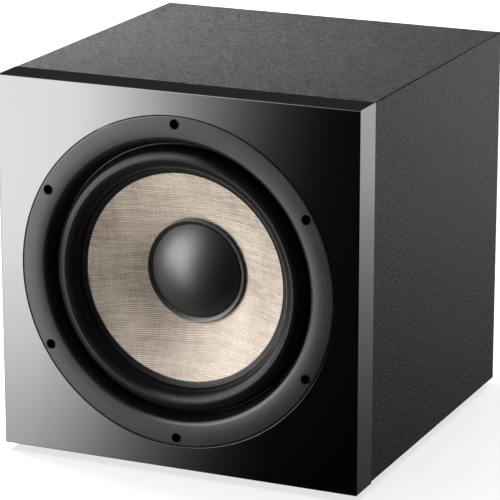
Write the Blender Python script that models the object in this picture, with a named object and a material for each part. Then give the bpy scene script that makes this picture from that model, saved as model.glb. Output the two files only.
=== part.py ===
"""Active subwoofer: a sealed, near-cubic cabinet with a long-throw woofer in front and an amplifier behind.

Run it with: blender --background --python part.py
Metres, +Z up. The front faces -Y, the cabinet stands on its feet at z = 0, and the origin is at the
centre of its footprint. "Depth" below is counted from the front face towards +Y.
"""

import math

import bmesh
import bpy
from mathutils import Matrix, Vector

# ---------------------------------------------------------------- driving dimensions
WIDTH = 0.392
HEIGHT = 0.390
DEPTH = 0.400
FOOT_HEIGHT = 0.008
REAR_REACH = 0.014            # how far knobs and fins stand out behind the cabinet
BAFFLE_THICKNESS = 0.040
PANEL = 0.018                 # board thickness of the cabinet walls
WRAP_INSET = 0.0006           # the wrapped body is this much smaller than the baffle all round
UNDERSIDE_INSET = 0.0016
GAP = 0.0003                  # clearance between pieces that touch

FRONT_Y = -(DEPTH + REAR_REACH) / 2
MID_Z = FOOT_HEIGHT + HEIGHT / 2

# woofer, as radius and depth
RING_R = 0.1704
RING_LIP_R = 0.1392
RING_LIP_DEPTH = 0.0188
RING_CROWN_R = 0.1500         # where the gentle crown ends and the tight roll begins
RING_CROWN_TILT = math.radians(9)
RING_ROLL = 0.0065
RING_THROAT_TILT = math.radians(66)
RING_BACK = 0.0075
FLANGE_R = 0.1640
FLANGE_TOP = 0.0080
FLANGE_BACK = 0.0140
SCREW_SEAT = 0.0112           # floor of the counterbore that takes a screw's head
LEDGE_DEPTH = 0.0166          # where the frame's flange and gasket sit in the baffle
RECESS_R = 0.1708
THROUGH_R = 0.1560
SURROUND_CREST_R = 0.1260
SURROUND_HALF_WIDTH = 0.0120
SURROUND_FOOT = 0.0194
SURROUND_CREST = 0.0022
CONE_EDGE_R = 0.1076
CONE_EDGE_DEPTH = 0.0205
CONE_SLOPE = 0.575            # depth gained for each metre towards the axis
CONE_NECK_R = 0.0330
CONE_NECK_LENGTH = 0.0022     # short enough to clear the spider at the end of the cone's stroke
CONE_SKIN = 0.0016
CAP_R = 0.0484
COLLAR_R = 0.0537
CAP_FOOT = 0.0466
CAP_CREST = 0.0300
FORMER_R = 0.0318
COIL_R = 0.0340
MAGNET_TOP = 0.1035
TOP_PLATE_BACK = 0.1115
MAGNET_BACK = 0.1417
YOKE_BACK = 0.1500
FORMER_OUTER_R = 0.0326
FORMER_BACK = 0.1180
SPIDER_R = 0.0846
SPIDER_DEPTH = 0.0778
BRACE_FRONT = 0.215
BRACE_BACK = 0.233
BRACE_WINDOW_R = 0.130

SOCKET_CIRCLE_R = 0.1623
SOCKET_R = 0.0047
SOCKET_BORE_R = 0.0036
SOCKET_LENGTH = 0.0074
SCREW_CIRCLE_R = 0.1588
AROUND = 6                    # sockets on the ring, and screws between them
FINE = 48                     # steps round the large turned pieces
MEDIUM = 32
SMALL = 12
TINY = 8
TWIST = 0.11                  # turns round cutters so that no corner meets a seam of what they cut

# amplifier
AMP_W = 0.250
AMP_H = 0.270
AMP_PLATE = 0.004
AMP_GASKET = 0.0015
AMP_REBATE = AMP_PLATE + AMP_GASKET + 2 * GAP
CUTOUT_W = 0.224
CUTOUT_H = 0.244
TRAY_W = 0.212
TRAY_H = 0.232
TRAY_DEPTH = 0.330            # depth of the tray's closed end
TRAY_SKIN = 0.0015
FIN_TIP = 0.0125              # how far the heat sink stands out behind the panel
INLET_HALF_W = 0.0140
INLET_HALF_H = 0.0190
INLET_RIM = 0.0025
WELL_DROP = 0.0070            # the inlet's well sits this far below its middle, the drawer above it
DRAWER_RISE = 0.0115
DRAWER_HALF_W = 0.0104
DRAWER_HALF_H = 0.0044
ROCKER_HALF_W = 0.0066
ROCKER_HALF_H = 0.0096
ROCKER_RIM = 0.0014
CUT_PAST = 0.01               # cutters run on this far beyond the face that they open
KNOB_Z = MID_Z - 0.020
SOCKET_ROW_Z = MID_Z - 0.080
KNOB_X = {"level_knob": 0.085, "crossover_knob": 0.040, "phase_knob": -0.005}
TOGGLE_X = -0.055
LENS_X = -0.090
RCA_X = (0.092, 0.064)
ROCKER_X = 0.010
INLET_X = -0.068
FOOT_INSET = 0.062

COLOURS = {
    "lacquer": ((0.010, 0.010, 0.011), 0.06, 0.0),
    "wrap": ((0.022, 0.022, 0.024), 0.60, 0.0),
    "board": ((0.48, 0.36, 0.22), 0.80, 0.0),
    "ring_plastic": ((0.018, 0.018, 0.020), 0.38, 0.0),
    "rubber": ((0.020, 0.020, 0.022), 0.48, 0.0),
    "flax": ((0.62, 0.50, 0.37), 0.62, 0.0),
    "cap": ((0.014, 0.014, 0.016), 0.30, 0.0),
    "cast_alloy": ((0.10, 0.10, 0.11), 0.50, 0.6),
    "steel": ((0.30, 0.30, 0.31), 0.38, 1.0),
    "ferrite": ((0.055, 0.055, 0.060), 0.70, 0.0),
    "copper": ((0.72, 0.34, 0.16), 0.35, 1.0),
    "spider_cloth": ((0.55, 0.42, 0.16), 0.85, 0.0),
    "black_plastic": ((0.020, 0.020, 0.022), 0.45, 0.0),
    "amp_metal": ((0.035, 0.035, 0.038), 0.50, 0.5),
    "zinc": ((0.55, 0.55, 0.56), 0.35, 1.0),
    "board_green": ((0.02, 0.16, 0.07), 0.50, 0.0),
    "lens": ((0.75, 0.78, 0.80), 0.15, 0.0),
}


# ---------------------------------------------------------------- helpers
def clear_scene():
    for old in list(bpy.data.objects):
        bpy.data.objects.remove(old, do_unlink=True)


def finish_for(kind):
    """The material of that kind, made the first time that it is asked for."""
    found = bpy.data.materials.get(kind)
    if found:
        return found
    colour, roughness, metallic = COLOURS[kind]
    material = bpy.data.materials.new(kind)
    material.use_nodes = True
    shader = material.node_tree.nodes["Principled BSDF"]
    shader.inputs["Base Color"].default_value = (*colour, 1.0)
    shader.inputs["Roughness"].default_value = roughness
    shader.inputs["Metallic"].default_value = metallic
    return material


def make_object(name, bm, kind, origin=(0, 0, 0), smooth=False):
    """Turns a bmesh in world coordinates into an object whose origin is at the given point."""
    bmesh.ops.recalc_face_normals(bm, faces=bm.faces)
    bmesh.ops.transform(bm, matrix=Matrix.Translation(-Vector(origin)), verts=bm.verts)
    mesh = bpy.data.meshes.new(name)
    bm.to_mesh(mesh)
    bm.free()
    if smooth:
        mesh.shade_smooth()
        mesh.set_sharp_from_angle(angle=math.radians(35))
    made = bpy.data.objects.new(name, mesh)
    made.location = origin
    bpy.context.scene.collection.objects.link(made)
    if kind:
        mesh.materials.append(finish_for(kind))
    return made


def at_depth(x, depth, z):
    """World point at that depth behind the front face."""
    return Vector((x, FRONT_Y + depth, z))


def turned(name, profile, kind, steps, centre=(0.0, 0.0), origin=None, front=FRONT_Y, twist=0.0):
    """A closed outline of (radius, depth) points, spun about an axis along Y through centre (x, z)."""
    bm = bmesh.new()
    corners = [bm.verts.new((r, depth, 0.0)) for r, depth in profile]
    edges = [bm.edges.new((corners[i - 1], corners[i])) for i in range(len(corners))]
    on_axis = [e for e in edges if all(abs(v.co.x) < 1e-9 for v in e.verts)]
    bmesh.ops.delete(bm, geom=on_axis, context="EDGES_FACES")
    geometry = list(bm.edges)
    bmesh.ops.spin(
        bm, geom=geometry, cent=(0, 0, 0), axis=(0, 1, 0), angle=2 * math.pi, steps=steps,
    )
    bmesh.ops.remove_doubles(bm, verts=bm.verts, dist=1e-6)
    place = Vector((centre[0], front, centre[1]))
    turn = Matrix.Translation(place) @ Matrix.Rotation(twist, 4, "Y")
    bmesh.ops.transform(bm, matrix=turn, verts=bm.verts)
    return make_object(name, bm, kind, origin or place, smooth=True)


def driver_part(name, profile, kind, steps=MEDIUM):
    """A turned piece of the woofer, on the woofer's own axis."""
    return turned(name, profile, kind, steps, centre=(0.0, MID_Z))


def prism(name, outline, start, end, kind, axis="Y"):
    """A flat outline pushed along Y (points are x, z) or along Z (points are x, y)."""
    bm = bmesh.new()
    if axis == "Y":
        corners = [bm.verts.new((a, start, b)) for a, b in outline]
        push = Vector((0, end - start, 0))
    else:
        corners = [bm.verts.new((a, b, start)) for a, b in outline]
        push = Vector((0, 0, end - start))
    face = bm.faces.new(corners)
    grown = bmesh.ops.extrude_face_region(bm, geom=[face])
    moved = [g for g in grown["geom"] if isinstance(g, bmesh.types.BMVert)]
    bmesh.ops.translate(bm, verts=moved, vec=push)
    return make_object(name, bm, kind)


def block(name, low, high, kind, bevel=0.0, turn=None):
    """A box between two corners, with softened edges; turn swings it about the world's origin."""
    bm = bmesh.new()
    bmesh.ops.create_cube(bm, size=1.0)
    size = Vector(high) - Vector(low)
    centre = (Vector(high) + Vector(low)) / 2
    bmesh.ops.scale(bm, vec=size, verts=bm.verts)
    bmesh.ops.translate(bm, vec=centre, verts=bm.verts)
    if bevel:
        bmesh.ops.bevel(
            bm, geom=list(bm.edges), offset=bevel, segments=2, profile=0.5, affect="EDGES",
        )
    if turn is not None:
        bmesh.ops.rotate(bm, cent=(0, 0, 0), matrix=turn, verts=bm.verts)
    return make_object(name, bm, kind)


def combine(target, operation, others):
    """Applies the others' shapes to the target with booleans; the others stay as hidden wires."""
    for other in others:
        other.hide_render = True
        other.display_type = "WIRE"
        change = target.modifiers.new("with_" + other.name, "BOOLEAN")
        change.operation = operation
        change.solver = "EXACT"
        change.object = other


def cut(target, *cutters):
    combine(target, "DIFFERENCE", cutters)


def unite(target, *pieces):
    combine(target, "UNION", pieces)


def rod_cutter(name, radius, start, end, x, z, steps=TINY):
    """A round cutter along Y between two depths."""
    profile = [(0.0, start), (radius, start), (radius, end), (0.0, end)]
    return turned(name, profile, None, steps, centre=(x, z), twist=TWIST)


def box_cutter(name, x, z, width, height, start, end):
    """A square cutter along Y between two depths, centred on x, z."""
    low = at_depth(x - width / 2, start, z - height / 2)
    high = at_depth(x + width / 2, end, z + height / 2)
    return block(name, low, high, None)


def on_circle(radius, degrees):
    """x and z of a point on a circle about the woofer's axis."""
    angle = math.radians(degrees)
    return radius * math.cos(angle), MID_Z + radius * math.sin(angle)


def socket_angles():
    return [90 + 360 / AROUND * i for i in range(AROUND)]


def screw_angles():
    return [60 + 360 / AROUND * i for i in range(AROUND)]


# ---------------------------------------------------------------- cabinet
def make_baffle():
    """The thick lacquered front board, with a stepped round opening for the woofer."""
    low = at_depth(-WIDTH / 2, 0.0, FOOT_HEIGHT)
    high = at_depth(WIDTH / 2, BAFFLE_THICKNESS, FOOT_HEIGHT + HEIGHT)
    baffle = block("front_baffle", low, high, "lacquer", bevel=0.0009)
    recess = rod_cutter("baffle_recess", RECESS_R, -CUT_PAST, LEDGE_DEPTH, 0.0, MID_Z, FINE)
    behind = BAFFLE_THICKNESS + CUT_PAST
    opening = rod_cutter("baffle_opening", THROUGH_R, CUT_PAST, behind, 0.0, MID_Z, FINE)
    pilots = []
    for i, degrees in enumerate(screw_angles()):
        x, z = on_circle(SCREW_CIRCLE_R, degrees)
        pilots.append(rod_cutter(f"pilot_{i}", 0.0023, LEDGE_DEPTH - 0.002, 0.0300, x, z))
    cut(baffle, recess, opening, *pilots)


def make_walls():
    """Four mitred boards that make the sleeve behind the baffle."""
    start = FRONT_Y + BAFFLE_THICKNESS + GAP
    end = FRONT_Y + DEPTH
    half = WIDTH / 2 - WRAP_INSET
    top = FOOT_HEIGHT + HEIGHT - WRAP_INSET
    bottom = FOOT_HEIGHT + UNDERSIDE_INSET
    inner = half - PANEL
    joint = 0.0005
    for name, z_out, z_in in (
        ("top_panel", top, top - PANEL), ("bottom_panel", bottom, bottom + PANEL),
    ):
        outline = [
            (-half + joint, z_out), (half - joint, z_out),
            (inner - joint, z_in), (-inner + joint, z_in),
        ]
        prism(name, outline, start, end, "wrap")
    for name, side in (("left_panel", -1), ("right_panel", 1)):
        outline = [
            (side * half, top), (side * half, bottom),
            (side * inner, bottom + PANEL), (side * inner, top - PANEL),
        ]
        prism(name, outline, start, end, "wrap")


def inner_box(margin):
    """Half width, lowest z and highest z of the room inside the sleeve, less a margin."""
    half = WIDTH / 2 - WRAP_INSET - PANEL - margin
    low = FOOT_HEIGHT + UNDERSIDE_INSET + PANEL + margin
    high = FOOT_HEIGHT + HEIGHT - WRAP_INSET - PANEL - margin
    return half, low, high


def make_rear_panel():
    half, low, high = inner_box(GAP)
    panel = block(
        "rear_panel", at_depth(-half, DEPTH - PANEL, low), at_depth(half, DEPTH, high), "wrap",
    )
    rebate = box_cutter(
        "amp_rebate", 0.0, MID_Z, AMP_W + 2 * GAP, AMP_H + 2 * GAP,
        DEPTH - AMP_REBATE, DEPTH + CUT_PAST,
    )
    opening = box_cutter(
        "amp_opening", 0.0, MID_Z, CUTOUT_W, CUTOUT_H, DEPTH - PANEL - CUT_PAST, DEPTH + CUT_PAST,
    )
    pilots = []
    for i, (x, z) in enumerate(amp_screw_places()):
        pilots.append(rod_cutter(f"amp_pilot_{i}", 0.0018, DEPTH - 0.0160, DEPTH, x, z))
    cut(panel, rebate, opening, *pilots)


def make_window_brace():
    """The board across the middle that ties the four walls together, open in the middle."""
    half, low, high = inner_box(GAP)
    brace = block(
        "window_brace", at_depth(-half, BRACE_FRONT, low), at_depth(half, BRACE_BACK, high), "board",
    )
    window = rod_cutter(
        "brace_window", BRACE_WINDOW_R, BRACE_FRONT - CUT_PAST, BRACE_BACK + CUT_PAST, 0.0, MID_Z, MEDIUM,
    )
    cut(brace, window)


def make_feet():
    """Turned rubber feet with a recess for the screw, stood upright under the bottom board."""
    outline = [
        (0.0040, 0.0042), (0.0040, 0.0), (0.0150, 0.0), (0.0162, 0.0010),
        (0.0176, FOOT_HEIGHT + UNDERSIDE_INSET - GAP), (0.0, FOOT_HEIGHT + UNDERSIDE_INSET - GAP),
        (0.0, 0.0042),
    ]
    reach_x = WIDTH / 2 - FOOT_INSET
    front = FRONT_Y + FOOT_INSET
    back = FRONT_Y + DEPTH - FOOT_INSET
    stand_up = Matrix.Rotation(math.pi / 2, 4, "X")
    for name, x, y in (
        ("foot_front_left", -reach_x, front), ("foot_front_right", reach_x, front),
        ("foot_rear_left", -reach_x, back), ("foot_rear_right", reach_x, back),
    ):
        foot = turned(name, outline, "rubber", 16, front=0.0)
        foot.data.transform(stand_up)
        foot.location = (x, y, 0.0)


# ---------------------------------------------------------------- woofer
def ring_face(crown_steps=3, roll_steps=4):
    """The trim ring's visible face: a gentle crown, then a tight roll into a steep throat."""
    rim = RING_R - 0.0006
    wide = rim - RING_CROWN_R
    sag = math.tan(RING_CROWN_TILT) / (2 * wide)
    points = [(RING_R, 0.0006)]
    for i in range(crown_steps):
        inwards = wide * i / crown_steps
        points.append((rim - inwards, sag * inwards ** 2))
    for i in range(roll_steps + 1):
        tilt = RING_CROWN_TILT + (RING_THROAT_TILT - RING_CROWN_TILT) * i / roll_steps
        inwards = RING_ROLL * (math.sin(tilt) - math.sin(RING_CROWN_TILT))
        fall = RING_ROLL * (math.cos(RING_CROWN_TILT) - math.cos(tilt))
        points.append((RING_CROWN_R - inwards, sag * wide ** 2 + fall))
    return points + [(RING_LIP_R, RING_LIP_DEPTH)]


def make_trim_ring():
    back = [
        (0.1420, RING_LIP_DEPTH + 0.0002), (0.1450, 0.0130), (RING_CROWN_R, RING_BACK),
        (RING_R, RING_BACK),
    ]
    ring = driver_part("trim_ring", ring_face() + back, "ring_plastic", FINE)
    holes = []
    for i, degrees in enumerate(socket_angles()):
        x, z = on_circle(SOCKET_CIRCLE_R, degrees)
        hole = rod_cutter(f"ring_hole_{i}", SOCKET_R + GAP, -CUT_PAST, 0.02, x, z, SMALL)
        holes.append(hole)
    cut(ring, *holes)


def make_grille_sockets():
    """Rubber cups in the ring that take a grille's pegs."""
    floor = 0.0060
    outline = [
        (0.0, floor), (SOCKET_BORE_R, floor), (SOCKET_BORE_R, 0.0006), (SOCKET_BORE_R + 0.0004, 0.0),
        (SOCKET_R, 0.0), (SOCKET_R, SOCKET_LENGTH), (0.0, SOCKET_LENGTH),
    ]
    for i, degrees in enumerate(socket_angles()):
        turned(
            f"grille_socket_{i + 1}", outline, "rubber", SMALL,
            centre=on_circle(SOCKET_CIRCLE_R, degrees),
        )


def make_basket():
    """The cast frame: flange, seat for the surround, open cone of legs, spider ledge and base."""
    outline = [
        (FLANGE_R, FLANGE_TOP), (0.1520, FLANGE_TOP), (0.1520, 0.0212), (0.1360, 0.0212),
        (0.0852, 0.0760), (0.0852, 0.0793), (0.0770, 0.0793), (0.0770, 0.0952),
        (0.0400, 0.0952), (0.0400, MAGNET_TOP - GAP), (0.0830, MAGNET_TOP - GAP),
        (0.0890, 0.0960), (0.0890, 0.0790), (0.1400, 0.0262), (0.1545, 0.0262),
        (0.1545, FLANGE_BACK), (FLANGE_R, FLANGE_BACK),
    ]
    basket = driver_part("driver_basket", outline, "cast_alloy", MEDIUM)
    cutters = []
    head_r = 0.0046
    shank_r = 0.0026
    sunk = [
        (0.0, 0.0), (head_r, 0.0), (head_r, SCREW_SEAT), (shank_r, SCREW_SEAT), (shank_r, 0.02), (0.0, 0.02),
    ]
    for i, degrees in enumerate(screw_angles()):
        place = on_circle(SCREW_CIRCLE_R, degrees)
        cutters.append(turned(f"flange_hole_{i}", sunk, None, TINY, centre=place, twist=TWIST))
    for i, degrees in enumerate(socket_angles()):
        cutters.append(window_cutter(f"basket_window_{i}", degrees))
    cut(basket, *cutters)


def window_cutter(name, degrees):
    """A radial block that opens one window between two legs."""
    low = Vector((0.070, FRONT_Y + 0.0310, -0.030))
    high = Vector((0.170, FRONT_Y + 0.0730, 0.030))
    turn = Matrix.Rotation(-math.radians(degrees), 4, "Y")
    made = block(name, low, high, None, turn=turn)
    made.data.transform(Matrix.Translation((0.0, 0.0, MID_Z)))
    return made


def make_driver_gasket():
    """A thin ring between flange and ledge, outside the screws."""
    start = FLANGE_BACK + GAP
    end = LEDGE_DEPTH - GAP
    outline = [(0.1612, start), (0.1636, start), (0.1636, end), (0.1612, end)]
    driver_part("driver_gasket", outline, "rubber")


def make_driver_screws():
    """Socket-head screws sunk in the flange."""
    head = FLANGE_TOP + 0.0002
    seat = SCREW_SEAT - GAP
    outline = [
        (0.0, head + 0.0016), (0.0016, head + 0.0016), (0.0016, head), (0.0042, head),
        (0.0042, seat), (0.0016, seat), (0.0016, 0.0290), (0.0, 0.0296),
    ]
    for i, degrees in enumerate(screw_angles()):
        turned(
            f"driver_screw_{i + 1}", outline, "steel", TINY,
            centre=on_circle(SCREW_CIRCLE_R, degrees),
        )


def make_surround(steps=5):
    """A tall rubber roll between the clamped outer lip and the lip glued to the cone."""
    sheet = 0.0015
    height = SURROUND_FOOT - SURROUND_CREST
    outer = []
    inner = []
    for i in range(steps + 1):
        t = math.pi * i / steps
        outer.append((
            SURROUND_CREST_R + SURROUND_HALF_WIDTH * math.cos(t),
            SURROUND_FOOT - height * math.sin(t),
        ))
        inner.append((
            SURROUND_CREST_R + (SURROUND_HALF_WIDTH - sheet) * math.cos(t),
            SURROUND_FOOT + sheet - height * math.sin(t),
        ))
    lip = CONE_EDGE_R + 0.0006
    outline = [(0.1514, SURROUND_FOOT), *outer, (lip, SURROUND_FOOT - 0.0008)]
    outline += [(lip, SURROUND_FOOT + 0.0006), *reversed(inner), (0.1514, SURROUND_FOOT + sheet)]
    driver_part("surround", outline, "rubber")


def cone_depth(radius):
    return CONE_EDGE_DEPTH + (CONE_EDGE_R - radius) * CONE_SLOPE


def make_cone():
    """The woven diaphragm, with a flat rim under the surround and a neck on the coil former."""
    rim = 0.1134
    front = [
        (rim, SURROUND_FOOT + 0.0018), (CONE_EDGE_R + 0.0008, SURROUND_FOOT + 0.0012),
        (CONE_NECK_R, cone_depth(CONE_NECK_R)),
    ]
    back = [
        (CONE_NECK_R, cone_depth(CONE_NECK_R) + CONE_NECK_LENGTH),
        (CONE_NECK_R + 0.0025, cone_depth(CONE_NECK_R + 0.0025) + CONE_SKIN + 0.0012),
        (CONE_EDGE_R, CONE_EDGE_DEPTH + CONE_SKIN + 0.0010), (rim, SURROUND_FOOT + 0.0034),
    ]
    driver_part("cone", front + back, "flax")


def make_dust_cap(steps=4):
    """The collar on the cone and the domed cap inside it."""
    collar_inner = CAP_R + 0.0006
    foot = cone_depth(COLLAR_R) - GAP
    collar = [
        (COLLAR_R, foot), (COLLAR_R - 0.0006, foot - 0.0042), (collar_inner + 0.0010, foot - 0.0042),
        (collar_inner, foot - 0.0020), (collar_inner, cone_depth(collar_inner) - GAP),
    ]
    driver_part("dust_cap_collar", collar, "black_plastic")
    skin = 0.0012
    rise = CAP_FOOT - CAP_CREST
    ball = (CAP_R ** 2 + rise ** 2) / (2 * rise)
    spread = math.asin(CAP_R / ball)
    dome = []
    hollow = []
    for i in range(steps + 1):
        t = spread * i / steps
        dome.append((ball * math.sin(t), CAP_CREST + ball * (1 - math.cos(t))))
        hollow.append(((ball - skin) * math.sin(t), CAP_CREST + skin + (ball - skin) * (1 - math.cos(t))))
    foot_ring = [(CAP_R, CAP_FOOT + 0.0030), (hollow[-1][0], CAP_FOOT + 0.0030)]
    driver_part("dust_cap", dome + foot_ring + hollow[::-1], "cap")


def make_motor():
    """Voice coil, spider, magnet and the steel that carries its field."""
    neck = cone_depth(CONE_NECK_R)
    former = [
        (FORMER_R, neck - 0.0030), (FORMER_OUTER_R, neck - 0.0030), (FORMER_OUTER_R, FORMER_BACK),
        (FORMER_R, FORMER_BACK),
    ]
    driver_part("voice_coil_former", former, "zinc", 24)
    inner = FORMER_OUTER_R + GAP
    front = 0.0990
    back = FORMER_BACK - 0.0002
    winding = [(inner, front), (COIL_R + GAP, front), (COIL_R + GAP, back), (inner, back)]
    driver_part("voice_coil_winding", winding, "copper", 24)
    spider_front = []
    spider_back = []
    waves = 5
    wave = 0.0012
    cloth = 0.0008
    for i in range(waves + 1):
        r = inner + (SPIDER_R - inner) * i / waves
        bump = 0.0 if i in (0, waves) else wave * (-1) ** (i + 1)
        spider_front.append((r, SPIDER_DEPTH + bump))
        spider_back.append((r, SPIDER_DEPTH + cloth + bump))
    driver_part("spider", spider_front + spider_back[::-1], "spider_cloth")
    bore = 0.0352
    rim = 0.0700
    plate = [(bore, MAGNET_TOP), (rim, MAGNET_TOP), (rim, TOP_PLATE_BACK), (bore, TOP_PLATE_BACK)]
    driver_part("top_plate", plate, "steel")
    start = TOP_PLATE_BACK + GAP
    magnet = [(0.0400, start), (0.0850, start), (0.0850, MAGNET_BACK), (0.0400, MAGNET_BACK)]
    driver_part("magnet", magnet, "ferrite")
    yoke = [
        (0.0100, MAGNET_TOP - 0.0010), (0.0305, MAGNET_TOP - 0.0010), (0.0305, MAGNET_BACK + GAP),
        (rim, MAGNET_BACK + GAP), (rim, YOKE_BACK), (0.0100, YOKE_BACK),
    ]
    driver_part("yoke", yoke, "steel")


# ---------------------------------------------------------------- amplifier
def amp_screw_places():
    """x and z of the screws round the amplifier plate."""
    dx = AMP_W / 2 - 0.0060
    dz = AMP_H / 2 - 0.0060
    return [(sx * dx, MID_Z + sz * dz) for sx in (-1, 1) for sz in (-1, 0, 1)]


def make_amp_plate():
    plate = block(
        "amp_plate", at_depth(-AMP_W / 2, DEPTH - AMP_PLATE, MID_Z - AMP_H / 2),
        at_depth(AMP_W / 2, DEPTH, MID_Z + AMP_H / 2), "amp_metal",
    )
    first = DEPTH - CUT_PAST
    last = DEPTH + CUT_PAST
    holes = [rod_cutter("hole_" + n, 0.0036, first, last, x, KNOB_Z) for n, x in KNOB_X.items()]
    holes.append(rod_cutter("hole_toggle", 0.0033, first, last, TOGGLE_X, KNOB_Z))
    holes.append(rod_cutter("hole_lens", 0.0018, first, last, LENS_X, KNOB_Z))
    for i, x in enumerate(RCA_X):
        holes.append(rod_cutter(f"hole_rca_{i}", 0.0045, first, last, x, SOCKET_ROW_Z, SMALL))
    holes.append(box_cutter("hole_rocker", ROCKER_X, SOCKET_ROW_Z, 0.0136, 0.0196, first, last))
    holes.append(box_cutter("hole_inlet", INLET_X, SOCKET_ROW_Z, 0.0286, 0.0386, first, last))
    for i, (x, z) in enumerate(amp_screw_places()):
        holes.append(rod_cutter(f"hole_screw_{i}", 0.0021, first, last, x, z))
    cut(plate, *holes)


def make_amp_gasket():
    """A square frame between plate and panel, inside the screws."""
    margin = 0.0090
    strip = 0.0030
    half_w = AMP_W / 2 - margin
    half_h = AMP_H / 2 - margin
    gasket = block(
        "amp_gasket", at_depth(-half_w, DEPTH - AMP_REBATE + GAP, MID_Z - half_h),
        at_depth(half_w, DEPTH - AMP_PLATE - GAP, MID_Z + half_h), "rubber",
    )
    window = box_cutter(
        "gasket_window", 0.0, MID_Z, 2 * (half_w - strip), 2 * (half_h - strip),
        DEPTH - 2 * CUT_PAST, DEPTH + CUT_PAST,
    )
    cut(gasket, window)


def make_amp_screws():
    head = DEPTH + GAP
    outline = [
        (0.0, head + 0.0012), (0.0014, head + 0.0012), (0.0014, head + 0.0022),
        (0.0030, head + 0.0020), (0.0038, head), (0.0015, head), (0.0015, DEPTH - 0.0140),
        (0.0, DEPTH - 0.0150),
    ]
    for i, (x, z) in enumerate(amp_screw_places()):
        turned(f"amp_screw_{i + 1}", outline, "zinc", TINY, centre=(x, z))


def make_amp_inside():
    """The metal tray behind the plate, with the toroidal transformer and the circuit board in it."""
    front = TRAY_DEPTH
    back = DEPTH - AMP_PLATE - GAP
    tray = block(
        "amp_chassis", at_depth(-TRAY_W / 2, front, MID_Z - TRAY_H / 2),
        at_depth(TRAY_W / 2, back, MID_Z + TRAY_H / 2), "zinc",
    )
    hollow = box_cutter(
        "tray_hollow", 0.0, MID_Z, TRAY_W - 2 * TRAY_SKIN, TRAY_H - 2 * TRAY_SKIN,
        front + TRAY_SKIN, back + CUT_PAST,
    )
    cut(tray, hollow)
    floor = front + TRAY_SKIN + GAP
    high = floor + 0.034
    bore = 0.0160
    shoulder = 0.0430
    girth = 0.0460
    core = [
        (bore, floor), (shoulder, floor), (girth, floor + 0.004), (girth, high - 0.004),
        (shoulder, high), (bore, high),
    ]
    turned("transformer", core, "copper", 28, centre=(0.045, MID_Z + 0.058))
    half_w = 0.095
    board_low = MID_Z - 0.105
    board_high = MID_Z - 0.005
    block(
        "circuit_board", at_depth(-half_w, floor + 0.0080, board_low),
        at_depth(half_w, floor + 0.0096, board_high), "board_green",
    )


def make_heat_sink(fins=9):
    """A comb-shaped extrusion: one base with upright fins."""
    half = 0.1000
    thick = 0.0024
    base = DEPTH + GAP
    root = base + 0.0030
    tip = DEPTH + FIN_TIP
    pitch = (2 * half - thick) / (fins - 1)
    outline = [(half, FRONT_Y + base), (-half, FRONT_Y + base)]
    for i in range(fins):
        x = -half + pitch * i
        outline += [(x, FRONT_Y + tip), (x + thick, FRONT_Y + tip)]
        if i < fins - 1:
            outline += [(x + thick, FRONT_Y + root), (x + pitch, FRONT_Y + root)]
    prism("heat_sink", outline, MID_Z + 0.012, MID_Z + 0.120, "amp_metal", axis="Z")


def make_knobs():
    """Turned knobs with a flared skirt, a slim spindle through the plate and a pointer slot."""
    low = DEPTH + 0.0010
    top = DEPTH + REAR_REACH
    outline = [
        (0.0, DEPTH - 0.0120), (0.0030, DEPTH - 0.0120), (0.0030, low), (0.0092, low),
        (0.0092, low + 0.0020), (0.0074, low + 0.0034), (0.0068, top - 0.0010), (0.0058, top),
        (0.0, top),
    ]
    for name, x in KNOB_X.items():
        knob = turned(
            name, outline, "black_plastic", 16, centre=(x, KNOB_Z),
            origin=at_depth(x, low, KNOB_Z),
        )
        slot = box_cutter(
            name + "_slot", x, KNOB_Z + 0.0045, 0.0010, 0.0070, top - 0.0006, top + CUT_PAST,
        )
        cut(knob, slot)


def make_power_switch():
    """A rocker in a square bezel, tipped to its off side."""
    frame = block(
        "rocker_frame",
        at_depth(ROCKER_X - ROCKER_HALF_W, DEPTH - 0.0160, SOCKET_ROW_Z - ROCKER_HALF_H),
        at_depth(ROCKER_X + ROCKER_HALF_W, DEPTH + 0.0010, SOCKET_ROW_Z + ROCKER_HALF_H),
        "black_plastic",
    )
    rim_w = ROCKER_HALF_W + ROCKER_RIM
    rim_h = ROCKER_HALF_H + ROCKER_RIM
    bezel = block(
        "rocker_bezel_body", at_depth(ROCKER_X - rim_w, DEPTH + GAP, SOCKET_ROW_Z - rim_h),
        at_depth(ROCKER_X + rim_w, DEPTH + 0.0022, SOCKET_ROW_Z + rim_h), None,
    )
    unite(frame, bezel)
    well = box_cutter(
        "rocker_well", ROCKER_X, SOCKET_ROW_Z, 0.0110, 0.0168, DEPTH - 0.0140, DEPTH + CUT_PAST,
    )
    cut(frame, well)
    pivot = at_depth(ROCKER_X, DEPTH + 0.0005, SOCKET_ROW_Z)
    bm = bmesh.new()
    lever = [
        (-0.0074, 0.0011), (0.0, 0.0010), (0.0074, 0.0033), (0.0074, -0.0030),
        (0.0030, -0.0085), (-0.0030, -0.0085), (-0.0074, -0.0030),
    ]
    corners = [
        bm.verts.new((ROCKER_X - 0.0050, pivot.y + rise, SOCKET_ROW_Z + z)) for z, rise in lever
    ]
    face = bm.faces.new(corners)
    grown = bmesh.ops.extrude_face_region(bm, geom=[face])
    moved = [g for g in grown["geom"] if isinstance(g, bmesh.types.BMVert)]
    bmesh.ops.translate(bm, verts=moved, vec=(0.0100, 0, 0))
    make_object("power_rocker", bm, "black_plastic", pivot)


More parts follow.
